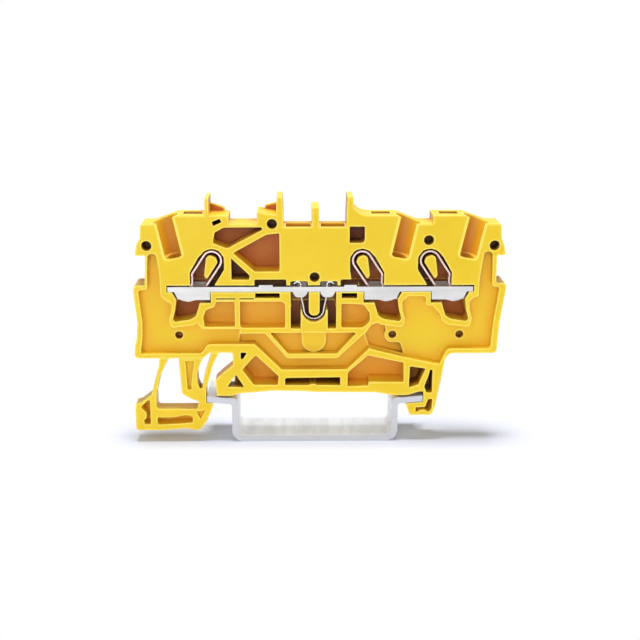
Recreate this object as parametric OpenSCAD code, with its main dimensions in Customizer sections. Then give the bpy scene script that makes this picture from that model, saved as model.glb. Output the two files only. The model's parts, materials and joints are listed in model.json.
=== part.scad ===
// Rail-mounted through terminal block: a moulded housing, open on one side, that holds a current bar,
// three clamp springs and a jumper spring, and stands on a short length of 35 mm hat rail.
// X runs along the block, Y along the rail and Z up. The origin lies on the rail's underside, in the
// rail's centre plane and in the block's middle plane. The open side faces -Y.

/* [Housing] */
// Thickness of the block along the rail
block_t = 5.2; // [5:0.1:6]
// Distance of the left flank from the rail's centre plane
left_reach = 28.9; // [28.5:0.1:31]
// Distance of the right flank from the rail's centre plane
right_reach = 30.3; // [30:0.1:32]
// Height of the two end shoulders above the rail's upper edge
shoulder_h = 28.55; // [28:0.05:31]
// Height of the plateau over each clamp above the shoulders
plateau_rise = 1.35; // [0.8:0.05:2]
// Height of the tall fins above the shoulders
fin_rise = 4.3; // [3:0.1:6]
// Thickness of the tall fins
fin_t = 0.9; // [0.6:0.05:1.2]
// Width of the rim along the flanks
rim_w = 0.75; // [0.5:0.05:1]
// Thickness of the closed wall behind the pockets
back_wall = 0.95; // [0.7:0.05:1.2]
// Depth of the shallow flank zones below the open side
shallow_d = 1.6; // [1.2:0.1:1.8]
// Depth of the middle pockets below the open side
middle_d = 3; // [2.4:0.1:3.2]
// Gap above the rail's upper edge at the two seats
seat_gap = 0.4; // [0.3:0.05:0.6]

/* [Current bar] */
// Height of the bar's underside above the rail's upper edge
bar_h = 17.7; // [17.5:0.05:18.2]
// Thickness of the bar
bar_t = 0.8; // [0.6:0.05:1]
// Width of the bar along the rail
bar_w = 4; // [3.8:0.05:4.1]
// Distance of the bar's left end beyond the left clamp's loop
bar_left_over = 6.95; // [6.85:0.05:7.4]
// Distance of the bar's right end beyond the right clamp's loop
bar_right_over = 6.85; // [6.8:0.05:7.2]
// Thickness of the skirts that hang below the bar
skirt_t = 0.35; // [0.25:0.05:0.45]
// Air gap round the bar and its skirts
bar_gap = 0.15; // [0.08:0.01:0.2]

/* [Clamps] */
// Distance of the left clamp's loop from the left flank
left_clamp_in = 12.55; // [12.4:0.05:12.7]
// Distance of the right clamp's loop from the right flank
right_clamp_in = 12.1; // [11.9:0.05:12.2]
// How far the middle clamp's loop stands on the jumper's side of the point midway to the right clamp
middle_clamp_shift = 1.5; // [1.45:0.05:1.65]
// Thickness of the clamp springs
spring_t = 0.3; // [0.2:0.02:0.34]
// Radius of the clamp springs' loop
loop_r = 1.47; // [1.35:0.01:1.5]
// Width of the clamp springs along the rail
spring_w = 3.8; // [3.4:0.05:3.9]
// Width of the clamp springs' tongues in the bar's holes
tongue_w = 2.4; // [2:0.05:2.6]
// Radius of the bore that leads the conductor to the clamp
entry_r = 1.5; // [1.3:0.05:1.55]
// Radius of the funnel over that bore
funnel_r = 2.1; // [2:0.05:2.2]
// Lean of the conductor entries away from the middle, in degrees
entry_lean = 12.5; // [11:0.5:14]

/* [Jumper] */
// Place of the jumper spring along the block
jumper_x = -0.2; // [-0.3:0.05:0.1]
// Radius of the jumper spring's bend
jumper_r = 1.6; // [1.5:0.02:1.7]
// Thickness of the jumper spring
jumper_t = 0.25; // [0.18:0.01:0.3]
// Width of the jumper spring along the rail
jumper_w = 2.2; // [1.8:0.05:2.4]

/* [Sockets and pins] */
// Radius of the five upper sockets
socket_r = 0.8; // [0.7:0.05:0.95]
// Radius of the three lower sockets
low_socket_r = 0.65; // [0.55:0.05:0.8]
// Depth of the sockets
socket_d = 3.2; // [2:0.1:3.4]
// Radial gap between a pin and its socket
pin_gap = 0.1; // [0.05:0.01:0.15]
// Length of the pins on the closed side
pin_l = 1.2; // [0.8:0.1:1.6]

/* [Rail foot] */
// Thickness of the foot and its arms along the rail
foot_t = 3; // [2.4:0.1:3.4]
// Gap between the foot and the rail
foot_gap = 0.12; // [0.08:0.01:0.2]
// Gap over the root of the foot's middle leg
root_gap = 0.2; // [0.15:0.01:0.25]

/* [Rail] */
// Width over the rail's flanges
rail_w = 35; // [34.8:0.05:35.3]
// Height of the rail
rail_h = 7.5; // [7.3:0.05:7.7]
// Thickness of the rail's sheet
rail_t = 1; // [0.9:0.05:1.1]
// Width over the rail's hat
hat_w = 27; // [26:0.1:27.4]
// Outer bend radius of the rail
rail_bend = 1.8; // [1.2:0.1:2.2]
// Rise of the flanges towards their edges
flange_rise = 0.3; // [0.05:0.05:0.35]
// Length of the rail piece
rail_l = 8; // [6:0.5:20]

/* [Hidden] */
$fn = 40;
cut = 1; // how far a cutter runs past the surface that it opens
seam = 0.01; // how far pieces of one solid run into each other

// Depths, from the open side (front) to the closed side (back)
front = -block_t / 2;
back = block_t / 2;
shallow_y = front + shallow_d;
channel_y = shallow_y + 0.5;
middle_y = front + middle_d;
deep_y = back - back_wall;

// Heights
bar_z = rail_h + bar_h;
bar_top = bar_z + bar_t;
shoulder_z = rail_h + shoulder_h;
plateau_z = shoulder_z + plateau_rise;
fin_z = shoulder_z + fin_rise;
seat_z = rail_h + seat_gap;
foot_root_z = rail_h + 6.8;
right_sill_z = rail_h + 7.5;
lip_z = bar_z - 6.05; // underside of the middle pockets

// Places along the block
left_x = -left_reach;
right_x = right_reach;
left_clamp = left_reach - left_clamp_in;
right_clamp = right_reach - right_clamp_in;
middle_clamp = (jumper_x + right_clamp) / 2 - middle_clamp_shift;
bar_left = left_clamp + bar_left_over;
bar_right = right_clamp + bar_right_over;
inner = 6; // half the width of the part round the jumper, which keeps its place
left_stretch = (left_clamp - inner) / 10.35; // how far the outlines between there and the clamps stretch
right_stretch = (right_clamp - inner) / 12.2;
edge_x = rail_w / 2;
bar_y0 = front + bar_gap;
bar_y1 = bar_y0 + bar_w;
spring_y0 = front + 0.3;
spring_y1 = spring_y0 + spring_w;
hole_y = (bar_y0 + bar_y1) / 2; // middle of the bar's width
tongue_y0 = hole_y - tongue_w / 2;
tongue_y1 = hole_y + tongue_w / 2;
hole_w = tongue_w + 0.6; // width of the bar's clamp holes along the rail
notch_z = bar_z + 1.05; // left flank shoulder
ear_z = bar_z + 5.9; // undersides of the ears

// [place, side] of each clamp: side 1 has its conductor on the right
left_site = [-left_clamp, -1];
middle_site = [middle_clamp, 1];
right_site = [right_clamp, 1];
SITES = [left_site, middle_site, right_site];

// [x, z, radius] of each socket and of the pin behind it
SOCKETS = [
    [left_x + 2.55, shoulder_z - 3.4, socket_r],
    [-6.75, shoulder_z + 0.05, socket_r],
    [jumper_x + 0.1, bar_top + 1.6, socket_r],
    [right_clamp - 0.4, bar_z + 8.3, socket_r],
    [right_x - 2.15, shoulder_z - 3.4, socket_r],
    [left_x + 7.05, bar_z - 7.5, low_socket_r],
    [12.5, bar_z - 7.5, low_socket_r],
    [right_x - 6.95, bar_z - 7.5, low_socket_r]
];

// ---- outlines -------------------------------------------------------------

function unit(v) = v / norm(v);
function flat(p) = [p.x, p.y];
function arc(centre, r, from, to, n = 10) =
    [for (i = [0:n]) centre + r * [cos(from + (to - from) * i / n), sin(from + (to - from) * i / n)]];

// The corner b between a and c, rounded by an arc of radius r as far as its sides allow
function rounded_corner(a, b, c, r) =
    r == 0 ? [b] :
    let (
        u = unit(a - b),
        v = unit(c - b),
        half = acos(max(-1, min(1, u * v))) / 2
    )
    half > 89 ? [b] :
    let (
        reach = min(r / tan(half), norm(a - b) * 0.49, norm(c - b) * 0.49),
        radius = reach * tan(half),
        centre = b + unit(u + v) * radius / sin(half),
        from = atan2((b + u * reach - centre).y, (b + u * reach - centre).x),
        to = atan2((b + v * reach - centre).y, (b + v * reach - centre).x),
        sweep = (to - from + 540) % 360 - 180,
        n = max(1, ceil(abs(sweep) / 22))
    )
    arc(centre, radius, from, from + sweep, n);

function radius_of(p) = len(p) > 2 ? p[2] : 0;

// A closed outline whose points are [x, z] or [x, z, corner radius]
function outline(points) =
    let (n = len(points))
    [for (i = [0:n - 1])
        each rounded_corner(flat(points[(i + n - 1) % n]), flat(points[i]), flat(points[(i + 1) % n]),
            radius_of(points[i]))];

// An open line with rounded corners
function line(points) =
    let (n = len(points))
    [for (i = [0:n - 1])
        each i == 0 || i == n - 1
            ? [flat(points[i])]
            : rounded_corner(flat(points[i - 1]), flat(points[i]), flat(points[i + 1]),
                radius_of(points[i]))];

function along(points, i) = unit(points[min(i + 1, len(points) - 1)] - points[max(i - 1, 0)]);
function aside(points, i, d) = points[i] + d * [-along(points, i).y, along(points, i).x];

// The outline of a strip of thickness t along a line
function ribbon(points, t) =
    let (n = len(points))
    concat(
        [for (i = [0:n - 1]) aside(points, i, t / 2)],
        [for (i = [n - 1:-1:0]) aside(points, i, -t / 2)]
    );

// A place along the block, stretched with the clamps' places
function across(x) =
    x < -inner ? -inner + (x + inner) * left_stretch :
    x > inner ? inner + (x - inner) * right_stretch : x;
function stretched(points) = [for (p = points) [across(p.x), p.y, radius_of(p)]];

function shifted(points, x, z) =
    [for (p = points) len(p) > 2 ? [p.x + x, p.y + z, p[2]] : [p.x + x, p.y + z]];
function box_outline(x0, x1, z0, z1, r = 0) = outline([[x0, z0, r], [x1, z0, r], [x1, z1, r], [x0, z1, r]]);

// A solid with an outline in the X-Z plane, between two depths
module slab(points, y0, y1) {
    translate([0, y1, 0])
        rotate([90, 0, 0])
            linear_extrude(y1 - y0)
                polygon(points);
}

// A pocket from the open side down to a floor
module pocket(points, floor_y) {
    slab(points, front - cut, floor_y);
}

module box(x0, x1, y0, y1, z0, z1) {
    translate([x0, y0, z0])
        cube([x1 - x0, y1 - y0, z1 - z0]);
}

// A round bar along Y
module round_y(x, z, r, y0, y1) {
    translate([x, y1, z])
        rotate([90, 0, 0])
            cylinder(h = y1 - y0, r = r);
}

// Clamp frame: +X towards the conductor, Z from the bar's underside
module at_clamp(site) {
    translate([site[0], 0, bar_z])
        mirror([site[1] < 0 ? 1 : 0, 0, 0])
            children();
}

// Foot frame: from the rail's left flange edge, at the rail's height
module at_foot() {
    translate([-edge_x, 0, rail_h])
        children();
}

// ---- housing --------------------------------------------------------------

// Left flank with its ear, from the sill up
left_side = [
    [left_x, foot_root_z, 0.6],
    [left_x + 0.15, foot_root_z + 2, 3],
    [left_x + 0.8, bar_z - 6.2, 9],
    [left_x + 0.2, bar_z + 0.2, 2],
    [left_x + 0.35, notch_z, 0.3],
    [left_x + 2.05, notch_z, 0.3],
    [left_x + 2.3, ear_z, 0.2],
    [left_x + 0.7, ear_z, 0.25],
    [left_x + 1.05, ear_z + 1.9, 0.8],
    [left_x + 1.6, ear_z + 2.7, 0.8],
    [left_x + 1.7, shoulder_z, 0.35]
];

// A place on the sweep from the right tall fin down to the middle clamp's plateau
function sweep_x(t) = 5.9 + (middle_clamp + 0.85 - 5.9) * t;

// Upper edge from the left shoulder to the right one, without its tall fins
upper_edge = [
    [-left_clamp - 9, shoulder_z, 0.4],
    [-left_clamp - 5.25, plateau_z, 0.4],
    [across(-13.5), plateau_z, 0.15],
    [across(-13.5), shoulder_z, 0.15],
    [across(-9.1), shoulder_z, 0.15],
    [across(-9.1), plateau_z + 0.6, 0.15],
    [-5.6, plateau_z],
    [-5, shoulder_z - 0.45],
    [5, shoulder_z - 0.45],
    [5.9, plateau_z + 1.3],
    [sweep_x(0.23), plateau_z + 0.75],
    [sweep_x(0.48), plateau_z + 0.33],
    [sweep_x(0.7), plateau_z + 0.1],
    [sweep_x(1), plateau_z],
    [middle_clamp + 5.35, plateau_z, 0.4],
    [right_clamp - 2, shoulder_z, 0.4],
    [right_clamp + 0.2, shoulder_z, 0.15],
    [right_clamp + 0.2, plateau_z, 0.15],
    [right_clamp + 5.2, plateau_z, 0.4],
    [right_clamp + 8.9, shoulder_z, 0.4]
];

// Right flank with its ear, from the shoulder down to the sill
right_side = [
    [right_x - 1.2, shoulder_z, 0.35],
    [right_x - 1.1, ear_z + 2.7, 0.8],
    [right_x - 0.6, ear_z + 1.5, 0.8],
    [right_x - 0.35, ear_z, 0.25],
    [right_x - 1.7, ear_z, 0.2],
    [right_x - 1.65, notch_z + 0.3, 0.3],
    [right_x - 0.1, notch_z + 0.3, 0.4],
    [right_x, bar_z + 0.6, 2],
    [right_x - 0.85, bar_z - 5.2, 9],
    [right_x - 1.1, right_sill_z, 0.6]
];

// Fixed hook round the rail's right edge, in its own frame at that edge
right_hook = shifted([
    [4.2, 7.5, 1],
    [3.45, 6.5, 1],
    [2.8, 2.5],
    [2.1, -1.4, 0.8],
    [1.6, -3.05, 0.8],
    [-2.1, -3.05, 0.3],
    [-2.75, -rail_t - foot_gap + 0.02],
    [foot_gap, -rail_t - foot_gap + flange_rise],
    [foot_gap, 1, 0.2],
    [-0.6, 1, 0.2],
    [-2.5, seat_gap],
    [-5, seat_gap]
], edge_x, rail_h);

// Underside between the two rail seats
under_edge = [
    [9.8, seat_z + 0.5, 2],
    [0, seat_z + 0.6, 2],
    [-2, seat_z + 0.75, 0.5],
    [-7, seat_z + 0.85, 0.5],
    [-9.5, seat_z + 0.6, 2],
    [-12.3, seat_z + 0.4, 1]
];

// Left rail seat and the slot beside the foot's inner arm, in the foot's frame
left_seat = shifted([
    [4, seat_gap],
    [1.6, seat_gap, 0.2],
    [1.45, 3.1, 0.2],
    [2.5, 4.1, 1],
    [4.3, 5.6, 0.3],
    [4.3, 7.7, 0.4],
    [0.6, 7.7],
    [-0.4, 6.8, 0.3]
], -edge_x, rail_h);

// A tall fin, a little thicker towards its root
module fin(x, z) {
    root = 0.12;
    slab(outline([
        [x - root, shoulder_z - 1], [x + fin_t + root, shoulder_z - 1], [x + fin_t + root, plateau_z],
        [x + fin_t, z, 0.15], [x, z, 0.15], [x - root, plateau_z]
    ]), front, back);
}

// Ribs that stiffen two of the fins, in the plane of the closed wall: [x at the fin, far x, height there]
module fin_gussets() {
    for (g = [[across(-16.7), across(-14.3), 0.55], [-5.9, across(-7.95), 0.9]])
        slab([[g[0], plateau_z - seam], [g[0], plateau_z + 1.35], [g[1], plateau_z + g[2]],
            [g[1], plateau_z - seam]], back - 0.5, back);
}

module housing_blank() {
    slab(outline(concat(left_side, upper_edge, right_side, right_hook, under_edge, left_seat)),
        front, back);
    low_fin = -left_clamp - 0.5;
    low_fin_z = fin_z - 0.2;
    slab(outline([
        [low_fin - 0.3, shoulder_z], [low_fin + 0.3, shoulder_z],
        [low_fin + 0.3, low_fin_z, 0.15], [low_fin - 0.3, low_fin_z, 0.15]
    ]), front, back);
    fin(-6, fin_z);
    fin(5, fin_z);
    slab(outline([[-0.5, shoulder_z - 1], [0.6, shoulder_z - 1], [0.6, fin_z - 1.65, 0.15],
        [-0.5, fin_z - 1.65, 0.15]]), front, back);
    fin_gussets();
}

// Shallow zone of the left flank, inside its rim
left_zone = [
    [left_x + 2.7, bar_z + 6.2, 0.6],
    [left_x + 4, bar_z + 6.2, 0.6],
    [left_x + 4.4, bar_z + 3.3, 1],
    [left_x + 4.5, bar_z - 0.6, 0.5],
    [left_x + 5.2, bar_z - 1.3, 0.5],
    [left_x + 6.1, bar_z - 1.9, 0.5],
    [left_x + 6.4, bar_z - 2.8],
    [-left_clamp - 3, bar_z - 4.5],
    [-17.9, lip_z, 0.4],
    [-12, lip_z, 0.2],
    [-12, rail_h + 9.1, 0.3],
    [-17.2, rail_h + 9.1, 1],
    [-18.2, foot_root_z + rim_w, 0.8],
    [left_x + rim_w + 0.2, foot_root_z + rim_w, 0.3],
    [left_x + rim_w + 0.8, bar_z - 6.2, 9],
    [left_x + rim_w + 0.2, bar_z + 0.3, 0.4],
    [left_x + rim_w + 1.7, bar_z + 0.5, 0.3],
    [left_x + rim_w + 1.75, bar_z + 3.5, 1]
];

// Shallow zone of the right flank, inside its rim
right_zone = [
    [right_x - 3.7, bar_z + 6.5, 0.5],
    [right_x - 2.4, bar_z + 6.5, 0.9],
    [right_x - 2.25, bar_z + 0.9, 0.3],
    [right_x - 0.3 - rim_w, bar_z + 0.7, 0.4],
    [right_x - 1.1 - rim_w, bar_z - 5.2, 9],
    [right_x - 1.35 - rim_w, right_sill_z + rim_w, 0.4],
    [edge_x + 3.7, right_sill_z + rim_w, 1.2],
    [edge_x + 2.6, rail_h + 5.6, 0.3],
    [14.2, rail_h + 6.85],
    [8.7, rail_h + 8.3],
    [7.9, bar_z - 7, 0.3],
    [9, bar_z - 5.4, 0.5],
    [middle_clamp + 4, bar_z - 4.5],
    [middle_clamp + 5.8, bar_z - 0.7, 0.4],
    [right_clamp - 0.9, bar_z - 0.7, 0.2],
    [right_clamp + 2, bar_z - 4],
    [right_clamp + 5.5, bar_z - 1.1],
    [right_x - 4.35, bar_z - 0.8, 0.4],
    [right_x - 4.3, bar_z + 2]
];

// Channel between the two ribs under the jumper
channel = [
    [-12, bar_z - 6.8, 0.2],
    [-8, bar_z - 6.8, 0.3],
    [-4.45, rail_h + 6.75, 0.4],
    [3.6, rail_h + 6.75, 0.4],
    [7.8, bar_z - 6.9],
    [9, bar_z - 6.9],
    [8.7, rail_h + 8.3, 0.3],
    [5.1, rail_h + 4.8, 0.6],
    [-5.4, rail_h + 4.8, 0.6],
    [-9.7, rail_h + 9.1, 0.5],
    [-12.2, rail_h + 9.1]
];

// Deeper zone left of the socket between the two right clamps
right_hollow = concat(
    [[8, bar_z - 7], [9.2, bar_z - 5.6, 0.3], [11.2, bar_z - 5.6, 0.3]],
    [for (p = arc([12.5, bar_z - 7.5], 1.3, 150, 290, 7)) p],
    [[13.8, bar_z - 8.9, 0.4], [14.35, rail_h + 6.95, 0.1], [8.7, rail_h + 8.35, 0.3]]
);

trapezoid = [
    [-7.3, bar_z - 6.7, 0.2],
    [6.7, bar_z - 6.7, 0.2],
    [3.5, rail_h + 7.45, 0.5],
    [-4.35, rail_h + 7.45, 0.5]
];

// Half-round tab that stands in the trapezoid
module trapezoid_tab() {
    tab_r = 1.95;
    tab_z = rail_h + 9.4;
    slab(concat([[jumper_x - tab_r, bar_z - 6.5]], arc([jumper_x, tab_z], tab_r, 180, 360, 14),
        [[jumper_x + tab_r, bar_z - 6.5]]), front + 1.1, deep_y);
}

// Wall round each clamp's conductor pocket, in the clamp's frame
collar = outline([
    [-0.6, 0.2], [-0.6, -2.2, 0.3], [0.9, -2.3, 0.4], [1.7, -3.6, 0.6], [2, -4.7, 0.6], [3, -5.4, 0.5],
    [6.5, -5.85, 0.6], [6.85, -4.5, 0.5], [6.4, -3, 1], [6.3, -1.6, 0.5], [7.3, -0.7, 0.4], [7.6, 0.2]
]);

// Pocket for the conductor's end, in the clamp's frame
conductor_pocket = outline([
    [1.7, -1], [2.2, -2.8, 0.5], [2.6, -4, 0.6], [3.5, -4.5, 0.6], [5.95, -4.9, 0.4], [6.25, -4.4, 0.3],
    [5.85, -3, 1], [5.6, -1]
]);

// Room for the bar's skirts, in the clamp's frame
skirt_room = outline([
    [0.3 - bar_gap, 0.2], [0.3 - bar_gap, -1.8, 0.1], [2.4, -1.8], [3.65, -2, 0.3], [4.8, -1.85, 0.4],
    [5.6, -1.3, 0.3], [6.1, -0.4, 0.2], [6.4, 0.2]
]);

// Window over each clamp spring, in the clamp's frame
spring_window = outline([
    [3.4, bar_t - 0.1], [3.4, 3.1, 0.4], [2, 5.55, 1], [1, 6.65, 1], [0, 7, 1], [-1.2, 6.75, 1],
    [-2.05, 5.6, 1], [-2.05, 3.6, 1], [-0.55, 1.2, 0.2], [-0.55, bar_t - 0.1]
]);

// Opening that joins the middle clamp's window to the small one beside it, in the clamp's frame
spring_gap = [
    [-3, bar_t - 0.1], [-3, 2.05], [-1.8, 2.05, 0.1], [-2.05, 3.6], [-1.2, 3.2], [-0.5, bar_t - 0.1]
];

// Post inside the spring's loop, in the clamp's frame
spring_post = outline([
    [0.75, 5.55, 0.6], [0.2, 5.95, 0.6], [-0.75, 5.6, 0.6], [-1.05, 4.8, 0.6],
    [0.75, 2.05, 0.2], [1.1, 2.7, 0.3], [0.9, 4.4, 1]
]);

// Openings over the clamp: funnel, conductor bore and operating slot
module clamp_openings() {
    axis_u = 5.78;
    axis_w = 5.6;
    top = plateau_z - bar_z + 3;
    translate([axis_u, 0, axis_w])
        rotate([0, entry_lean, 0]) {
            translate([0, front + 1.65, -0.2])
                cylinder(h = 0.31, r1 = funnel_r - 0.25, r2 = funnel_r);
            translate([0, front + 1.65, 0.1])
                cylinder(h = top, r = funnel_r);
            translate([0, hole_y, -axis_w + 1.15])
                cylinder(h = top, r = entry_r);
        }
    slot_top = plateau_z - bar_z;
    slab([
        [1.35, slot_top + cut], [4.35, slot_top + cut], [4.3, slot_top - 1], [3.2, 7], [2.9, 4.4],
        [1.5, 4.4], [1.35, 6.5]
    ], -0.7, 1.5);
}

module clamp_cuts() {
    pocket(skirt_room, bar_y1 + bar_gap);
    pocket(conductor_pocket, deep_y);
    pocket(spring_window, deep_y);
}

// Trusses between the left clamp and the jumper slots, from the bar up
TRUSSES = [
    [[-16, 7.9, 0.3], [-15.7, 9.55, 0.3], [-14.3, 10.35, 0.3], [-8.4, 10.4, 0.2], [-8.2, 10, 0.2],
        [-13.7, 7.05, 0.4], [-14.3, 7.2, 0.4]],
    [[-12.9, 6.3, 0.2], [-7.6, 9.25, 0.4], [-5.6, 9.45, 0.2], [-5.6, 3.3, 0.3], [-9.5, 3.3, 0.4]],
    [[-13.2, 5.5], [-13.2, 2, 0.15], [-10.4, 2, 0.2], [-10.3, 2.7, 0.2]],
    [[5.35, 7.85, 0.15], [7.75, 7.85, 0.6], [7.75, 10.5, 0.15], [5.35, 10.5, 0.15]]
];

// Pockets above and below the bar: [x0, x1, z0, z1, corner radius] from the bar's underside
SMALL_WINDOWS = [
    [-9.6, -4.55, 0, 2.05, 0.25],
    [4, 6.4, 0, 2.05, 0.25],
    [jumper_x - 3.75, jumper_x - 0.95, 0, 1.75, 0.3],
    [jumper_x + 0.95, jumper_x + 3.75, 0, 1.75, 0.3],
    [-9.5, -5.6, -1, -0.2, 0.1],
    [4.2, 6.65, -1.05, -0.2, 0.1],
    [-15.7, -12.6, -1.2, -1, 0],
    [-12, -9.7, -1.2, -1, 0]
];

MIDDLE_POCKETS = [
    [[-17.6, 0.35, 0.3], [-12.75, 0.35, 0.3], [-12.75, 4.5, 0.3], [-15.7, 4.5, 0.3], [-16, 3.6, 0.4],
        [-17.3, 3.2, 0.6], [-17.8, 2, 0.6]],
    [[-11.95, 0.15, 0.5], [-4.75, 0.15, 0.3], [-4.75, 4.15, 0.5], [-5.3, 4.5, 0.4], [-11.95, 4.5, 0.3]],
    [[4.15, 0.15, 0.3], [7.7, 0.15, 1], [8.75, 1.2, 1], [8.7, 2.6, 1], [7.7, 4, 0.8], [4.15, 4.15, 0.3]]
];

// Small window beside the left plateau, from the shoulder's height
plateau_window = [[-16.1, 0.4, 0.15], [-14.8, 0.9, 0.15], [-14.6, 0.3, 0.15], [-15.9, -0.3, 0.15]];

// Pockets along the rail seats, from the rail's upper edge
LOW_POCKETS = [
    [[-11.95, 7.7, 0.1], [-10.9, 7.7, 0.2], [-11.6, 6.55, 0.2], [-11.95, 6.6, 0.2]],
    [[-12.75, 4, 0.15], [-14.2, 1.9, 0.15], [-11.4, 1.8, 0.15]],
    [[-9.55, 7.3, 0.3], [-11.75, 4.8, 0.3], [-9.9, 2.2, 0.4], [-6, 2.2, 0.3], [-5.85, 3.7, 0.3]],
    [[-4.85, 2.15, 0.15], [-1, 2.15], [-0.6, 2.35], [-0.1, 2.35], [0.3, 2.15], [4.1, 2.1, 0.15],
        [4.1, 3.5, 0.15], [-4.85, 3.4, 0.3]],
    [[5.2, 1.9, 0.1], [5.3, 4.3, 0.4], [8.5, 7.2, 0.4], [14.3, 5.9, 0.3], [14.35, 2.6, 0.2],
        [8.7, 2.65, 0.1], [8.6, 2]]
];

// Pockets of the right hook, from the rail's right edge and upper edge
HOOK_POCKETS = [
    [[-2.2, 5.3, 0.2], [0.4, 4.9, 0.2], [-0.75, 2.2, 0.3], [-2.3, 1.6, 0.2]],
    [[1.1, 4.75, 0.1], [1.5, 4.6, 0.15], [1.5, 0.75, 0.2], [0.6, 0.75, 0.3], [0.2, 1.8, 0.3], [0.85, 3.7]],
    [[-1.1, -1.75, 0.1], [0.45, -1.65, 0.1], [0.9, -0.35, 0.15], [1.6, -0.25, 0.15], [1.5, -2.1, 0.2],
        [1, -2.6, 0.2], [0.4, -2.15, 0.1], [-0.35, -2.2, 0.1], [-1.1, -2.65, 0.1]]
];

module low_pockets() {
    for (p = LOW_POCKETS)
        pocket(outline(shifted(p, 0, rail_h)), deep_y);
    for (p = HOOK_POCKETS)
        pocket(outline(shifted(p, edge_x, rail_h)), deep_y);
}

// Room round the jumper spring, with the block and the finger that hold it
module jumper_room() {
    step_z = bar_z - 2.3;
    room_x0 = jumper_x - 3.7;
    room_x1 = jumper_x + 3.55;
    difference() {
        union() {
            pocket(box_outline(room_x0, room_x1, lip_z, step_z, 0.15), deep_y);
            pocket(box_outline(room_x0, room_x1, step_z, bar_z + seam), deep_y - 0.5);
        }
        difference() {
            slab(box_outline(jumper_x - 2.1, jumper_x + 2.2, lip_z - cut, bar_z - 3),
                front - 2 * cut, back);
            pocket(concat(arc([jumper_x, bar_z - 3.05], jumper_r + 0.3, 180, 360, 16),
                [[jumper_x + jumper_r + 0.4, bar_z], [jumper_x - jumper_r - 0.4, bar_z]]), deep_y);
        }
        slab(box_outline(jumper_x - 0.8, jumper_x + 0.9, bar_z - 3.85, bar_z + cut, 0.8),
            front - 2 * cut, back);
    }
}

// Wells that take the jumper's prongs from above
module jumper_wells() {
    for (x = [[-4.6, -0.7], [0.9, 4.65]]) {
        box(x[0], x[1], front + 0.45, deep_y - 0.6, shoulder_z - 5, shoulder_z + cut);
        box(x[0] + 0.6, x[1] - 0.6, front + 0.9, deep_y - 0.9, bar_top, shoulder_z - 4.5);
    }
}

module housing() {
    color([0.93, 0.79, 0.2])
        difference() {
            union() {
                difference() {
                    housing_blank();
                    pocket(outline(left_zone), shallow_y);
                    pocket(outline(right_zone), shallow_y);
                    pocket(outline(channel), channel_y);
                }
                for (site = SITES)
                    at_clamp(site)
                        slab(collar, front, deep_y);
            }
            pocket(outline(right_hollow), middle_y);
            difference() {
                pocket(outline(trapezoid), front + 2.1);
                trapezoid_tab();
            }
            for (p = TRUSSES)
                pocket(outline(shifted(stretched(p), 0, bar_z)), deep_y);
            for (p = MIDDLE_POCKETS)
                pocket(outline(shifted(stretched(p), 0, lip_z)), middle_y);
            for (w = SMALL_WINDOWS)
                pocket(box_outline(across(w[0]), across(w[1]), bar_z + w[2], bar_z + w[3], w[4]), deep_y);
            pocket(outline(shifted(stretched(plateau_window), 0, shoulder_z)), deep_y);
            pocket(
                box_outline(-bar_left - bar_gap, bar_right + bar_gap, bar_z - 0.04, bar_top + 2 * bar_gap),
                bar_y1 + bar_gap);
            at_clamp(middle_site)
                pocket(outline(spring_gap), deep_y);
            low_pockets();
            jumper_room();
            jumper_wells();
            for (s = SOCKETS)
                round_y(s.x, s.y, s[2], front - cut, front + socket_d);
            difference() {
                for (site = SITES)
                    at_clamp(site) {
                        clamp_cuts();
                        clamp_openings();
                    }
                for (site = SITES)
                    at_clamp(site)
                        slab(spring_post, front - 2 * cut, back);
            }
            // the left corner over the foot is only as thick as the foot
            box(-edge_x - 3, -13.2, front + foot_t, back + cut, rail_h - cut, rail_h + 7.7);
        }
    color([0.93, 0.79, 0.2])
        for (s = SOCKETS)
            round_y(s.x, s.y, s[2] - pin_gap, back - seam, back + pin_l);
}

// ---- metal parts ----------------------------------------------------------

skirt = outline([
    [0.3, 0], [0.3, -1.3, 0.1], [2.6, -1.3, 0.6], [3.65, -1.6, 0.6], [4.65, -1.4, 0.6],
    [5.35, -1.05, 0.5], [5.9, 0]
]);

module bar_skirts() {
    for (site = SITES)
        at_clamp(site) {
            for (y = [bar_y0, bar_y1 - skirt_t])
                slab(skirt, y, y + skirt_t);
            // slanted contact edge that the conductor is pressed against
            slab(ribbon([[6, 0.2], [5.3, -1.4]], skirt_t), tongue_y0, tongue_y1);
        }
    for (side = [-1, 1])
        translate([jumper_x, 0, bar_z])
            mirror([side < 0 ? 1 : 0, 0, 0])
                slab(outline([[1.05, 0], [1.05, -0.3, 0.1], [1.6, -0.9, 0.6], [2.9, -0.9, 0.6], [3.4, 0]]),
                    bar_y0, bar_y0 + skirt_t);
}

module current_bar() {
    color([0.92, 0.92, 0.94])
        difference() {
            union() {
                box(-bar_left, bar_right, bar_y0, bar_y1, bar_z, bar_top);
                box(-8.9, -6.7, bar_y0, bar_y0 + 0.8, bar_top - seam, bar_top + 0.3);
                box(4.6, 6.6, bar_y0, bar_y0 + 0.8, bar_top - seam, bar_top + 0.3);
                bar_skirts();
            }
            for (site = SITES)
                at_clamp(site)
                    box(0.65, 5.8, hole_y - hole_w / 2, hole_y + hole_w / 2, -seam, bar_t + cut);
            for (side = [-1, 1])
                translate([jumper_x + side * 1.9, 0, bar_z])
                    box(-0.75, 0.75, hole_y - jumper_w / 2 - 0.2, hole_y + jumper_w / 2 + 0.2,
                        -seam, bar_t + cut);
        }
}

// Clamp spring, in the clamp's frame: support leg and loop stay, the clamping leg swings round the
// loop's centre
loop_centre = [-0.1, 5];
support_end = 212;
split_angle = 62;
leg_angle = 34;

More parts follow.
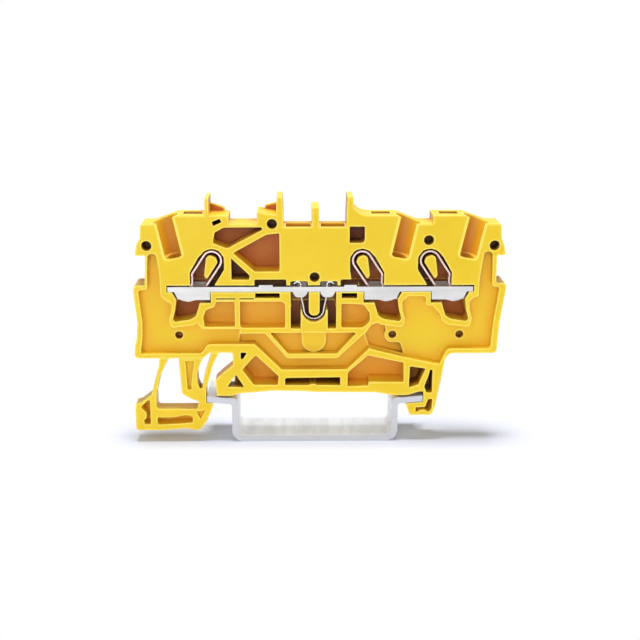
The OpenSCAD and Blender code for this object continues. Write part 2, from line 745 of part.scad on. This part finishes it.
// A strip along a line: wide above a height, and no wider than the bar's hole below it
module clamp_strip(points, wide_from) {
    slab(ribbon(points, spring_t), tongue_y0, tongue_y1);
    intersection() {
        slab(ribbon(points, spring_t), spring_y0, spring_y1);
        box(-9, 9, front, back, wide_from, 9);
    }
}

module clamp_spring(site) {
    color([0.8, 0.74, 0.72])
        at_clamp(site)
            clamp_strip(concat(arc(loop_centre, loop_r, split_angle, support_end, 16),
                line([[0.6, bar_t + 0.5], [1.12, 0.55, 0.3], [1.12, -0.4]])), bar_t + 0.15);
}

module clamp_leg(site) {
    color([0.8, 0.74, 0.72])
        at_clamp(site)
            clamp_strip(concat(arc(loop_centre, loop_r, split_angle, leg_angle, 4),
                line([[2, 4.45], [3.08, 2.85, 0.7], [3.1, 1.1, 0.7], [4.8, -0.95]])), 2.3);
}

module clamp_spring_left() {
    clamp_spring(left_site);
}

module clamp_spring_middle() {
    clamp_spring(middle_site);
}

module clamp_spring_right() {
    clamp_spring(right_site);
}

module clamp_leg_left() {
    clamp_leg(left_site);
}

module clamp_leg_middle() {
    clamp_leg(middle_site);
}

module clamp_leg_right() {
    clamp_leg(right_site);
}

// Jumper spring: a U whose bend stays while its legs give way to the jumper's prongs
jumper_centre_z = -3.05; // from the bar's underside
jumper_split = 25; // from the horizontal, below the bend's centre

module jumper_spring() {
    color([0.85, 0.83, 0.82])
        translate([jumper_x, 0, bar_z])
            slab(
                ribbon(arc([0, jumper_centre_z], jumper_r, -180 + jumper_split, -jumper_split, 14),
                    jumper_t),
                hole_y - jumper_w / 2, hole_y + jumper_w / 2);
}

module jumper_leg(side) {
    color([0.85, 0.83, 0.82])
        translate([jumper_x, 0, bar_z])
            mirror([side < 0 ? 1 : 0, 0, 0])
                slab(ribbon(concat(arc([0, jumper_centre_z], jumper_r, -jumper_split, 0, 4),
                    line([[jumper_r + 0.07, jumper_centre_z + 0.4], [2.1, -0.6, 0.8], [2.1, 1.35, 0.35],
                        [2.85, 1.35, 0.3], [3.15, 1.05]])), jumper_t),
                    hole_y - jumper_w / 2, hole_y + jumper_w / 2);
}

module jumper_leg_left() {
    jumper_leg(-1);
}

module jumper_leg_right() {
    jumper_leg(1);
}

// ---- rail foot ------------------------------------------------------------

foot_y1 = front + foot_t;
base_split = 0.55; // height of the arm's lower end over the rail's upper edge

module foot_outer_arm() {
    color([0.93, 0.79, 0.2])
        at_foot()
            slab(outline([
                [-8.95, base_split], [-8.2, 3.5, 3], [-7.55, 5.6, 1], [-7.45, 6.8], [-5.9, 6.8],
                [-6.5, 5.7, 1], [-7.4, 3.9, 2], [-8.2, base_split]
            ]), front, foot_y1);
}

module foot_inner_arm() {
    color([0.93, 0.79, 0.2])
        at_foot()
            slab(outline([
                [-0.75, 1.6], [-0.45, 3.5, 3], [0.2, 5.7, 3], [0.85, 7.7], [2.1, 7.7], [1.05, 5.6, 3],
                [0.3, 2.8, 3], [-foot_gap, 1.6]
            ]), front, foot_y1);
}

module foot_middle_leg() {
    color([0.93, 0.79, 0.2])
        at_foot()
            difference() {
                slab(outline([
                    [-4.4, 6.8 - root_gap], [-4.2, 3, 1], [-4, 0.7, 0.8], [-2.5, -0.15, 1], [-1.35, -0.6],
                    [-1.05, 1.55], [-1.45, 2.6, 0.8], [-1.5, 4, 1], [-1.05, 5.6, 1], [-0.5, 6.8 - root_gap]
                ]), front, foot_y1);
                pocket(outline([
                    [-3.3, 6.3], [-1.9, 6.3], [-2.5, 2.4], [-2.4, 1.4, 0.3], [-3.1, 1.4, 0.3], [-3.1, 2.4]
                ]), front + 0.8);
            }
}

module release_foot() {
    color([0.93, 0.79, 0.2])
        at_foot()
            difference() {
                slab(outline([
                    [-11.6, -1, 0.3], [-10.8, -0.85, 0.3], [-8.95, base_split], [-8.2, base_split],
                    [-8.15, -1.85, 0.5], [-1.6, -1.85, 0.2], [-1.35, -0.6], [-1.05, 1.55], [-0.75, 1.6],
                    [-foot_gap, 1.6], [-foot_gap, -rail_t - foot_gap + flange_rise],
                    [0.95, -rail_t - foot_gap + flange_rise, 0.15], [0.85, -1.6, 0.4], [-0.05, -3.9, 1.5],
                    [-1.2, -5.5, 0.5], [-2, -5.5, 0.5], [-3.6, -5.2, 1], [-7, -5.5, 3], [-11.65, -5.5, 0.5]
                ]), front, foot_y1);
                pocket(outline([
                    [-10.75, -1.5, 0.2], [-9.25, -0.1, 0.2], [-9.25, -4.5, 0.2], [-10.2, -4.5, 0.2],
                    [-10.3, -3.8, 0.2], [-9.85, -3.3, 0.3], [-9.85, -2.5, 0.3]]), foot_y1 - 0.6);
                pocket(outline([[-8.1, -3.3, 0.2], [-5.5, -3.3, 1], [-3.5, -2.9, 0.6], [-2.4, -3.2, 0.3],
                    [-2.4, -4.2, 0.3], [-4, -4.35, 1], [-8.1, -4.55, 0.2]]), foot_y1 - 0.6);
                pocket(outline([[-1.75, -2.3], [-1.15, -3.7, 0.15], [-0.35, -2.1]]), front + 0.8);
            }
}

// ---- rail -----------------------------------------------------------------

module din_rail() {
    h = hat_w / 2;
    inner_bend = max(0.3, rail_bend - rail_t);
    half = [
        [h - rail_t, rail_t, inner_bend],
        [h - rail_t, rail_h, rail_bend],
        [h + 1, rail_h, 1],
        [edge_x, rail_h + flange_rise],
        [edge_x, rail_h - rail_t + flange_rise],
        [h + 1, rail_h - rail_t, 1],
        [h, rail_h - rail_t, inner_bend],
        [h, 0, rail_bend]
    ];
    mirrored = [for (i = [len(half) - 1:-1:0]) [-half[i].x, half[i].y, radius_of(half[i])]];
    color([0.8, 0.8, 0.8])
        slab(outline(concat(half, mirrored)), front, front + rail_l);
}

housing();
current_bar();
clamp_spring_left();
clamp_spring_middle();
clamp_spring_right();
clamp_leg_left();
clamp_leg_middle();
clamp_leg_right();
jumper_spring();
jumper_leg_left();
jumper_leg_right();
foot_outer_arm();
foot_inner_arm();
foot_middle_leg();
release_foot();
din_rail();
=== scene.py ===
"""Looks of a rail-mounted terminal block: camera, light, materials, bent spring strips and the foot
moulding.
"""

import json
import math

import bmesh
import bpy
from mathutils import Matrix, Vector


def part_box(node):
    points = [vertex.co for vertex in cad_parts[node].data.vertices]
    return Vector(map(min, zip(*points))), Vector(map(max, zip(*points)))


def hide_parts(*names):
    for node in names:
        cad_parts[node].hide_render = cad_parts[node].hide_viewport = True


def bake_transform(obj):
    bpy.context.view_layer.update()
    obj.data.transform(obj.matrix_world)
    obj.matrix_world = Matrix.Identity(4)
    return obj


MM = 0.001

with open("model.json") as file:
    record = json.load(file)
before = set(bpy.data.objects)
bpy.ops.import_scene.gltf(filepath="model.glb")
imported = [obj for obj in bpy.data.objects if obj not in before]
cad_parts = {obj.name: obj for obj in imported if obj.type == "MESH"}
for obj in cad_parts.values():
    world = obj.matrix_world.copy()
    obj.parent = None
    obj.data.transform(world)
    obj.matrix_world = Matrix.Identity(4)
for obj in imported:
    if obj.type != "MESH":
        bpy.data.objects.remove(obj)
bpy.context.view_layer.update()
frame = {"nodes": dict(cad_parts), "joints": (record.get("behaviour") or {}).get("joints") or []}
nodes = frame["nodes"]
joints = {j["name"]: j for j in frame["joints"]}


# ---- camera ----------------------------------------------------------------

AZIMUTH = math.radians(-1.29)
ELEVATION = math.radians(15.68)
ROLL = math.radians(0.17)
DISTANCE = 181 * MM
TARGET = Vector((0.83, 0, 19.87)) * MM
SENSOR = 36
FOCAL = 63


def make_camera():
    """A camera in front of the block that looks slightly down."""
    flat = math.cos(ELEVATION)
    back = Vector((math.sin(AZIMUTH) * flat, -math.cos(AZIMUTH) * flat, math.sin(ELEVATION)))
    right = Vector((math.cos(AZIMUTH), math.sin(AZIMUTH), 0))
    up = back.cross(right)
    data = bpy.data.cameras.new("camera")
    data.sensor_width = SENSOR
    data.lens = FOCAL
    data.clip_start = 1 * MM
    data.clip_end = 10
    camera = bpy.data.objects.new("camera", data)
    turned = Matrix((right, up, back)).transposed().to_4x4()
    place = Matrix.Translation(TARGET + back * DISTANCE)
    camera.matrix_world = place @ turned @ Matrix.Rotation(ROLL, 4, "Z")
    bpy.context.scene.collection.objects.link(camera)
    bpy.context.scene.camera = camera


# ---- materials -------------------------------------------------------------

POCKET_SHADE_REACH = 4  # mm over which the walls around a pocket paint shade into it as orange-brown
EDGE_HIGHLIGHT_REACH = 0.35  # mm over which an edge gets a painted highlight
OPEN_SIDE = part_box("housing")[0].y
DEEPEST = 4.25 * MM  # from the open side to the deepest pocket's floor
DEEP_POCKET_SHADE_FROM, PALE_POCKET_SHADE_FROM = 17 * MM, 14 * MM  # heights between which the painted pocket shade turns paler, painted light as if from the floor on the lower pockets
NARROW_SHADE_OFF_UP_TO, NARROW_SHADE_FROM = 6 * MM, 9 * MM  # heights between which painted shade in narrow, walled-in places sets in
SAWN_SKIN = 0.01 * MM, 0.04 * MM  # depths at which a sawn end's dullness starts and stops


def new_material(name):
    """An empty node material with its shader and output."""
    material = bpy.data.materials.new(name)
    material.use_nodes = True
    tree = material.node_tree
    tree.nodes.clear()
    output = tree.nodes.new("ShaderNodeOutputMaterial")
    shader = tree.nodes.new("ShaderNodeBsdfPrincipled")
    tree.links.new(shader.outputs[0], output.inputs[0])
    return material, tree, shader


def noise(tree, scale, detail=3, roughness=0.5, stretch=(1, 1, 1)):
    """Noise in the piece's own frame, scale in features per metre."""
    place = tree.nodes.new("ShaderNodeTexCoord")
    mapping = tree.nodes.new("ShaderNodeMapping")
    mapping.inputs["Scale"].default_value = stretch
    texture = tree.nodes.new("ShaderNodeTexNoise")
    texture.inputs["Scale"].default_value = scale
    texture.inputs["Detail"].default_value = detail
    texture.inputs["Roughness"].default_value = roughness
    tree.links.new(place.outputs["Object"], mapping.inputs["Vector"])
    tree.links.new(mapping.outputs[0], texture.inputs["Vector"])
    return texture.outputs["Fac"]


def ramp(tree, factor, stops):
    """A colour ramp over a factor."""
    node = tree.nodes.new("ShaderNodeValToRGB")
    node.color_ramp.elements[0].position = stops[0][0]
    node.color_ramp.elements[0].color = stops[0][1]
    node.color_ramp.elements[1].position = stops[-1][0]
    node.color_ramp.elements[1].color = stops[-1][1]
    for position, colour in stops[1:-1]:
        node.color_ramp.elements.new(position).color = colour
    tree.links.new(factor, node.inputs[0])
    return node.outputs[0]


def remap(tree, factor, low, high):
    """Maps 0 to 1 onto low to high."""
    node = tree.nodes.new("ShaderNodeMapRange")
    node.inputs["To Min"].default_value = low
    node.inputs["To Max"].default_value = high
    tree.links.new(factor, node.inputs["Value"])
    return node.outputs[0]


def bump(tree, shader, height, distance, strength):
    """A bump from a height, over a distance in metres."""
    node = tree.nodes.new("ShaderNodeBump")
    node.inputs["Strength"].default_value = strength
    node.inputs["Distance"].default_value = distance
    tree.links.new(height, node.inputs["Height"])
    tree.links.new(node.outputs[0], shader.inputs["Normal"])


def srgb(r, g, b):
    """A linear colour from 0 to 255 display values."""
    def channel(c):
        c /= 255
        return c / 12.92 if c <= 0.04045 else ((c + 0.055) / 1.055) ** 2.4
    return (channel(r), channel(g), channel(b), 1)


SAWN_COLOUR = srgb(194, 194, 196)  # duller than the plated faces


def closeness(tree, distance, inside=False):
    """How open a point is, 0 to 1: to the walls around it, or inside the solid to its own edges."""
    node = tree.nodes.new("ShaderNodeAmbientOcclusion")
    node.samples = 8
    node.inside = inside
    node.only_local = inside
    node.inputs["Distance"].default_value = distance * MM
    return node.outputs["AO"]


def blend_colour(tree, factor, low, high, mode="MIX"):
    """Mixes two colours by a factor, each a value or a socket."""
    node = tree.nodes.new("ShaderNodeMix")
    node.data_type = "RGBA"
    node.blend_type = mode
    values = ((node.inputs["Factor"], factor), (node.inputs[6], low), (node.inputs[7], high))
    for socket, value in values:
        if isinstance(value, (tuple, int, float)):
            socket.default_value = value
        else:
            tree.links.new(value, socket)
    return node.outputs[2]


def along(tree, axis, start, end):
    """0 at one place along an axis of the piece, 1 at another."""
    place = tree.nodes.new("ShaderNodeTexCoord")
    split = tree.nodes.new("ShaderNodeSeparateXYZ")
    node = tree.nodes.new("ShaderNodeMapRange")
    node.inputs["From Min"].default_value = start
    node.inputs["From Max"].default_value = end
    tree.links.new(place.outputs["Object"], split.inputs[0])
    tree.links.new(split.outputs[axis], node.inputs["Value"])
    return node.outputs[0]


def plastic(name):
    """Moulded yellow polyamide: satin, with painted shade in orange-brown in its pockets and a painted
    highlight along its edges.
    """
    material, tree, shader = new_material(name)
    face = ramp(tree, noise(tree, 220, 4), [(0.3, srgb(234, 198, 24)), (0.7, srgb(239, 205, 36))])
    # Painted shade: pockets turn orange-brown with their depth behind the open side
    depth = along(tree, "Y", OPEN_SIDE, OPEN_SIDE + DEEPEST)
    high = ramp(tree, depth, [(0.3, srgb(238, 194, 34)), (0.5, srgb(240, 186, 38)),
                              (0.72, srgb(238, 180, 42)), (1, srgb(190, 108, 30))])
    # Paler ramp for lower pockets: painted light, as if the floor lit them
    low = ramp(tree, depth, [(0.3, srgb(238, 194, 34)), (0.5, srgb(240, 188, 44)),
                             (1, srgb(240, 176, 52))])
    # Painted light: low down the pocket shade takes the paler ramp
    painted_pocket_shade = blend_colour(tree, along(tree, "Z", DEEP_POCKET_SHADE_FROM, PALE_POCKET_SHADE_FROM), high, low)
    # Painted shade where walls close a point in; open faces keep the face colour
    opening = closeness(tree, POCKET_SHADE_REACH)
    pocket_shade_mask = ramp(tree, opening, [(0.7, (1, 1, 1, 1)), (0.92, (0, 0, 0, 1))])
    colour = blend_colour(tree, pocket_shade_mask, face, painted_pocket_shade)
    # Painted shade: narrow, walled-in places are multiplied towards near black, only above the given
    # heights
    narrow_place_shade = ramp(tree, opening, [(0, srgb(40, 10, 10)), (0.1, srgb(170, 120, 95)),
                                 (0.25, srgb(255, 255, 255))])
    shaded = along(tree, "Z", NARROW_SHADE_OFF_UP_TO, NARROW_SHADE_FROM)
    colour = blend_colour(tree, shaded, colour, narrow_place_shade, "MULTIPLY")
    # Painted highlight: a pale yellow along the edges
    rim = ramp(tree, closeness(tree, EDGE_HIGHLIGHT_REACH, True), [(0.6, (1, 1, 1, 1)), (0.95, (0, 0, 0, 1))])
    colour = blend_colour(tree, rim, colour, srgb(252, 226, 96))
    tree.links.new(colour, shader.inputs["Base Color"])
    tree.links.new(remap(tree, noise(tree, 1500, 2), 0.32, 0.44), shader.inputs["Roughness"])
    shader.inputs["IOR"].default_value = 1.53
    shader.inputs["Specular IOR Level"].default_value = 0.3
    shader.inputs["Subsurface Weight"].default_value = 0.25
    shader.inputs["Subsurface Radius"].default_value = (1, 0.6, 0.12)
    shader.inputs["Subsurface Scale"].default_value = 0.6 * MM
    bump(tree, shader, noise(tree, 6000, 3, 0.6), 0.01 * MM, 0.5)
    return material


def metal(name, low, high, roughness, stretch, grain=4000, sawn=None):
    """Metal with a drawn grain and slightly uneven gloss; the ends of a sawn piece's box are duller."""
    material, tree, shader = new_material(name)
    colour = ramp(tree, noise(tree, grain / 4, 3, 0.6, stretch), [(0.3, low), (0.7, high)])
    if sawn:
        for end, inward in ((sawn[0].y, 1), (sawn[1].y, -1)):
            inside = along(tree, "Y", *(end + inward * depth for depth in SAWN_SKIN))
            colour = blend_colour(tree, inside, SAWN_COLOUR, colour)
    tree.links.new(colour, shader.inputs["Base Color"])
    shader.inputs["Metallic"].default_value = 1
    fine = noise(tree, grain, 4, 0.7, stretch)
    tree.links.new(remap(tree, fine, roughness[0], roughness[1]), shader.inputs["Roughness"])
    bump(tree, shader, fine, 0.008 * MM, 0.4)
    return material


# ---- bent strips -----------------------------------------------------------

def arc(centre, radius, start, end, steps):
    """Points on an arc, angles in degrees."""
    turn = (end - start) / steps
    return [
        (centre[0] + radius * math.cos(math.radians(start + turn * i)),
         centre[1] + radius * math.sin(math.radians(start + turn * i)))
        for i in range(steps + 1)
    ]


def smooth_line(points, step=0.12):
    """A dense line through points [x, z, corner radius], its corners rounded by arcs."""
    dense = [Vector(points[0][:2])]
    for before, here, after in zip(points, points[1:], points[2:]):
        corner = Vector(here[:2])
        u = (Vector(before[:2]) - corner).normalized()
        v = (Vector(after[:2]) - corner).normalized()
        radius = here[2] if len(here) > 2 else 0
        half = u.angle(v) / 2
        if radius == 0 or half > math.radians(89):
            dense.append(corner)
            continue
        reach = min(radius / math.tan(half), (Vector(before[:2]) - corner).length * 0.49,
                    (Vector(after[:2]) - corner).length * 0.49)
        start, end = corner + u * reach, corner + v * reach
        steps = max(3, round((math.pi - 2 * half) / math.radians(9)))
        for i in range(steps + 1):
            t = i / steps
            dense.append(start * (1 - t) ** 2 + corner * 2 * t * (1 - t) + end * t ** 2)
    dense.append(Vector(points[-1][:2]))
    line = [dense[0]]
    for p in dense[1:]:
        gap = (p - line[-1]).length
        if gap < 1e-4:
            continue
        parts = max(1, round(gap / step))
        line += [line[-1].lerp(p, (i + 1) / parts) for i in range(parts)]
    return line


def strip(name, points, thickness, width_at, origin, side=1):
    """A bent strip of sheet: points in mm from origin, width_at(point) gives its edges along Y."""
    mesh = bmesh.new()
    rim = thickness * 0.15
    rings = []
    line = [Vector(p) for p in points]
    for i, p in enumerate(line):
        forward = (line[min(i + 1, len(line) - 1)] - line[max(i - 1, 0)]).normalized()
        across = Vector((-forward.y, forward.x))
        y0, y1 = width_at(p)
        h = thickness / 2
        section = [(-h, y0 + rim), (-h + rim, y0), (h - rim, y0), (h, y0 + rim),
                   (h, y1 - rim), (h - rim, y1), (-h + rim, y1), (-h, y1 - rim)]
        ring = []
        for d, y in section:
            q = p + across * d
            ring.append(mesh.verts.new(((origin[0] + side * q.x) * MM, y * MM, (origin[1] + q.y) * MM)))
        rings.append(ring)
    count = len(rings[0])
    for a, b in zip(rings, rings[1:]):
        for i in range(count):
            mesh.faces.new((a[i], a[(i + 1) % count], b[(i + 1) % count], b[i]))
    mesh.faces.new(rings[0])
    mesh.faces.new(list(reversed(rings[-1])))
    bmesh.ops.recalc_face_normals(mesh, faces=mesh.faces)
    for face in mesh.faces:
        face.smooth = True
    data = bpy.data.meshes.new(name)
    mesh.to_mesh(data)
    mesh.free()
    piece = bpy.data.objects.new(name, data)
    bpy.context.scene.collection.objects.link(piece)
    edge = piece.modifiers.new("edges", "EDGE_SPLIT")
    edge.split_angle = math.radians(30)
    return piece


# Depths and heights from the frame, in mm
bar_low, bar_high = (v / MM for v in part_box("current_bar"))
leg_low, leg_high = (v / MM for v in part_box("clamp_leg_middle"))
jumper_low, jumper_high = (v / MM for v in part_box("jumper_leg_right"))
LOOP_R = 1.47
LOOP_X = -0.1
LOOP_Z = 5.0
LOOP_START, LOOP_END = 212, 34  # degrees at which the support and the clamping leg leave the loop
CLAMP_LEAN = math.radians(25)  # the direction in which the clamping leg bends
SPRING_T = 0.34
JUMPER_T = 0.25
JUMPER_R = 1.6
JUMPER_Z = -3.05  # centre of the U's bend below the bar
BAR_T = 0.8
BAR_Z = joints["clamp_middle"]["pos_m"][2] / MM - LOOP_Z
HOLE_Y = (bar_low.y + bar_high.y) / 2
TONGUE = 1.2
SPRING_WIDE = (leg_low.y, leg_high.y)


def clamp_width(p):
    """The strip is wide above the bar and as narrow as the bar's hole near it."""
    wide_from = BAR_T + 0.15 if p.x < 1.6 else 2.3
    t = min(1, max(0, (p.y - wide_from) / 0.12))
    return (HOLE_Y - TONGUE + (SPRING_WIDE[0] - HOLE_Y + TONGUE) * t,
            HOLE_Y + TONGUE + (SPRING_WIDE[1] - HOLE_Y - TONGUE) * t)


def make_clamp_spring(where, material):
    """One clamp spring: support leg, loop and clamping leg in one bent strip."""
    joint = joints["clamp_" + where]
    side = joint["axis"][1]
    origin = (joint["pos_m"][0] / MM - side * LOOP_X, BAR_Z)
    loop = arc((LOOP_X, LOOP_Z), LOOP_R, LOOP_START, LOOP_END, 44)
    support = smooth_line([(1.12, -0.4), (1.12, 0.55, 0.3), (0.6, BAR_T + 0.5, 0.3), loop[0]])
    leg = smooth_line([loop[-1], (2, 4.45, 0.5), (3.08, 2.85, 0.7), (3.1, 1.1, 0.7), (4.8, -0.95)])
    line = support[:-1] + loop + leg[1:]
    piece = strip("clamp_spring_strip_" + where, line, SPRING_T, clamp_width, origin, side)
    piece.data.materials.append(material)
    toward = Vector((math.cos(CLAMP_LEAN), math.sin(CLAMP_LEAN)))

    def place(reach):
        return ((origin[0] + side * toward.x * reach) * MM, 0, (origin[1] + toward.y * reach) * MM)
    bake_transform(piece)
    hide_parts("clamp_spring_" + where, "clamp_leg_" + where)


def make_jumper_half(where, material):
    """Half of the jumper's U-shaped spring: half the bend and one leg."""
    joint = joints["jumper_" + where]
    side = -joint["axis"][1]
    centre_x = sum(joints["jumper_" + w]["pos_m"][0] for w in ("left", "right")) / 2 / MM
    bend = arc((0, JUMPER_Z), JUMPER_R, -90, 0, 16)
    leg = smooth_line([bend[-1], (JUMPER_R + 0.07, JUMPER_Z + 0.4, 0.4), (2.1, -0.6, 0.8),
                       (2.1, 1.35, 0.35), (2.85, 1.35, 0.3), (3.15, 1.05)])
    width = (jumper_low.y, jumper_high.y)
    origin = (centre_x, BAR_Z)
    piece = strip("jumper_spring_half_" + where, bend + leg[1:], JUMPER_T, lambda p: width, origin, side)
    piece.data.materials.append(material)
    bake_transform(piece)
    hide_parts("jumper_leg_" + where, "jumper_spring")


# ---- foot ------------------------------------------------------------------

FOOT_BEND_STEPS = 10  # cuts across the arms, so that they bend smoothly


def make_foot(material):
    """The elastic foot: base, middle leg and arms joined as one moulding, cut across between its base
    and its root.
    """
    names = ("foot_outer_arm", "foot_inner_arm", "foot_middle_leg", "release_foot")
    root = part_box("foot_outer_arm")[1].z
    copies = []
    for name in names:
        data = nodes[name].data.copy()
        data.materials.clear()
        if name == "foot_middle_leg":
            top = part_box(name)[1].z
            for v in data.vertices:
                if v.co.z > top - 0.05 * MM:
                    v.co.z = root
        copy = bpy.data.objects.new("part_of_foot", data)
        bpy.context.scene.collection.objects.link(copy)
        copies.append(copy)
    piece = copies[-1]
    for other in copies[:-1]:
        join = piece.modifiers.new("join", "BOOLEAN")
        join.operation = "UNION"
        join.solver = "EXACT"
        join.object = other
    evaluated = piece.evaluated_get(bpy.context.evaluated_depsgraph_get())
    whole = bpy.data.meshes.new_from_object(evaluated)
    for copy in copies:
        bpy.data.objects.remove(copy)
    mesh = bmesh.new()
    mesh.from_mesh(whole)
    bmesh.ops.remove_doubles(mesh, verts=mesh.verts, dist=0.002 * MM)
    bmesh.ops.dissolve_limit(mesh, angle_limit=math.radians(2), verts=mesh.verts, edges=mesh.edges)
    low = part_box("release_foot")[1].z - 1 * MM
    for i in range(FOOT_BEND_STEPS):
        height = low + (root - low) * i / FOOT_BEND_STEPS
        geometry = list(mesh.verts) + list(mesh.edges) + list(mesh.faces)
        bmesh.ops.bisect_plane(mesh, geom=geometry, plane_co=(0, 0, height), plane_no=(0, 0, 1))
    for face in mesh.faces:
        face.smooth = True
    mesh.to_mesh(whole)
    mesh.free()
    whole.name = "foot_moulding"
    piece = bpy.data.objects.new("foot_moulding", whole)
    bpy.context.scene.collection.objects.link(piece)
    piece.data.materials.clear()
    piece.data.materials.append(material)
    soften(piece)
    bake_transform(piece)
    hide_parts(*names)


# ---- edges -----------------------------------------------------------------

def soften(piece, width=0.09, segments=2, angle=32):
    """Merges flat facets and rounds the edges, as a mould leaves them."""
    flat = piece.modifiers.new("flat", "DECIMATE")
    flat.decimate_type = "DISSOLVE"
    flat.angle_limit = math.radians(1.5)
    bevel = piece.modifiers.new("bevel", "BEVEL")
    bevel.width = width * MM
    bevel.segments = segments
    bevel.limit_method = "ANGLE"
    bevel.angle_limit = math.radians(angle)
    bevel.use_clamp_overlap = False
    bevel.miter_outer = "MITER_ARC"
    bevel.harden_normals = False
    normals = piece.modifiers.new("normals", "WEIGHTED_NORMAL")
    normals.keep_sharp = True
    normals.weight = 100


def dress(name, material, **edges):
    """Gives a CAD node its material and soft edges."""
    node = nodes[name]
    node.data.materials.clear()
    node.data.materials.append(material)
    for polygon in node.data.polygons:
        polygon.use_smooth = True
    soften(node, **edges)


# ---- stage -----------------------------------------------------------------

FLOOR_Z = -0.01  # mm
FLOOR_COLOUR = (0.76, 0.8, 0.92, 1)  # lit from above, it comes out white
SHADOW_REACH = (48, 16, 1)  # mm from the middle at which the floor is plain white
FLOOR_HALF = 2  # metres
SOFT_LIGHT = 0.3
SEEN_IN_GLOSS = 0.8  # how white the surround is in reflections
LAMP_AIM = Vector((0, 0, 20))  # mm


def make_floor():
    """A pale floor that keeps the shadow near the object and fades to white around it."""
    mesh = bpy.data.meshes.new("floor")
    corners = [(x * FLOOR_HALF, y * FLOOR_HALF, 0) for x, y in ((-1, -1), (1, -1), (1, 1), (-1, 1))]
    mesh.from_pydata(corners, [], [(0, 1, 2, 3)])
    floor = bpy.data.objects.new("floor", mesh)
    floor.location.z = FLOOR_Z * MM
    bpy.context.scene.collection.objects.link(floor)
    material = bpy.data.materials.new("floor")
    material.use_nodes = True
    tree = material.node_tree
    tree.nodes.clear()
    output = tree.nodes.new("ShaderNodeOutputMaterial")
    diffuse = tree.nodes.new("ShaderNodeBsdfDiffuse")
    diffuse.inputs["Color"].default_value = FLOOR_COLOUR
    path = tree.nodes.new("ShaderNodeLightPath")
    place = tree.nodes.new("ShaderNodeTexCoord")
    mapping = tree.nodes.new("ShaderNodeMapping")
    mapping.inputs["Scale"].default_value = tuple(1 / (reach * MM) for reach in SHADOW_REACH)
    length = tree.nodes.new("ShaderNodeVectorMath")
    length.operation = "LENGTH"
    tree.links.new(place.outputs["Object"], mapping.inputs["Vector"])
    tree.links.new(mapping.outputs[0], length.inputs[0])
    away = tree.nodes.new("ShaderNodeMapRange")
    away.interpolation_type = "SMOOTHSTEP"
    away.inputs["From Min"].default_value = 0.5
    tree.links.new(length.outputs["Value"], away.inputs["Value"])
    both = tree.nodes.new("ShaderNodeMath")
    both.operation = "MULTIPLY"
    tree.links.new(away.outputs[0], both.inputs[0])
    tree.links.new(path.outputs["Is Camera Ray"], both.inputs[1])
    white = tree.nodes.new("ShaderNodeEmission")
    mix = tree.nodes.new("ShaderNodeMixShader")
    tree.links.new(both.outputs[0], mix.inputs[0])
    tree.links.new(diffuse.outputs[0], mix.inputs[1])
    tree.links.new(white.outputs[0], mix.inputs[2])
    tree.links.new(mix.outputs[0], output.inputs[0])
    mesh.materials.append(material)


def make_world():
    """A white surround for the camera and for reflections, and a plain soft light from all sides."""
    world = bpy.data.worlds.new("world")
    bpy.context.scene.world = world
    world.use_nodes = True
    tree = world.node_tree
    tree.nodes.clear()
    output = tree.nodes.new("ShaderNodeOutputWorld")
    soft = tree.nodes.new("ShaderNodeBackground")
    soft.inputs["Strength"].default_value = SOFT_LIGHT
    white = tree.nodes.new("ShaderNodeBackground")
    white.inputs["Color"].default_value = (1, 1, 1, 1)
    path = tree.nodes.new("ShaderNodeLightPath")
    strength = remap(tree, path.outputs["Is Camera Ray"], SEEN_IN_GLOSS, 1)
    tree.links.new(strength, white.inputs["Strength"])
    mix = tree.nodes.new("ShaderNodeMixShader")
    seen = tree.nodes.new("ShaderNodeMath")
    seen.operation = "MAXIMUM"
    tree.links.new(path.outputs["Is Camera Ray"], seen.inputs[0])
    tree.links.new(path.outputs["Is Glossy Ray"], seen.inputs[1])
    tree.links.new(seen.outputs[0], mix.inputs[0])
    tree.links.new(soft.outputs[0], mix.inputs[1])
    tree.links.new(white.outputs[0], mix.inputs[2])
    tree.links.new(mix.outputs[0], output.inputs[0])


def make_lamp(name, size, power, place):
    """A soft square lamp that faces the block; sizes and places in mm, power in watts."""
    data = bpy.data.lights.new(name, "AREA")
    data.size = size * MM
    data.energy = power
    lamp = bpy.data.objects.new(name, data)
    lamp.location = Vector(place) * MM
    lamp.rotation_euler = (LAMP_AIM - Vector(place)).to_track_quat("-Z", "Y").to_euler()
    bpy.context.scene.collection.objects.link(lamp)


# ---- the scene -------------------------------------------------------------

make_camera()
housing_plastic = plastic("housing_plastic")
tinned = metal("tinned_copper", srgb(200, 196, 188), srgb(218, 214, 206), (0.28, 0.4), (0.15, 1, 1))
clamp_steel = metal("clamp_steel", srgb(214, 188, 182), srgb(232, 208, 202), (0.3, 0.42), (1, 0.1, 1))
jumper_steel = metal("jumper_steel", srgb(214, 210, 208), srgb(232, 228, 226), (0.2, 0.34), (1, 0.1, 1))
rail_steel = metal("rail_steel", srgb(220, 221, 223), srgb(238, 239, 241), (0.5, 0.62), (1, 0.15, 1),
                   grain=2500, sawn=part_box("din_rail"))

dress("housing", housing_plastic)
dress("current_bar", tinned, width=0.05)
dress("din_rail", rail_steel, width=0.1)
for where in ("left", "middle", "right"):
    make_clamp_spring(where, clamp_steel)
for where in ("left", "right"):
    make_jumper_half(where, jumper_steel)
make_foot(housing_plastic)

make_floor()
make_world()
make_lamp("key", 260, 0.62, (-80, -430, 110))
make_lamp("high", 260, 0.25, (-120, -320, 330))
make_lamp("fill", 300, 0.2, (220, -300, 160))
make_lamp("top", 120, 1.5, (0, 0, 400))

bpy.context.scene.view_settings.view_transform = "Standard"
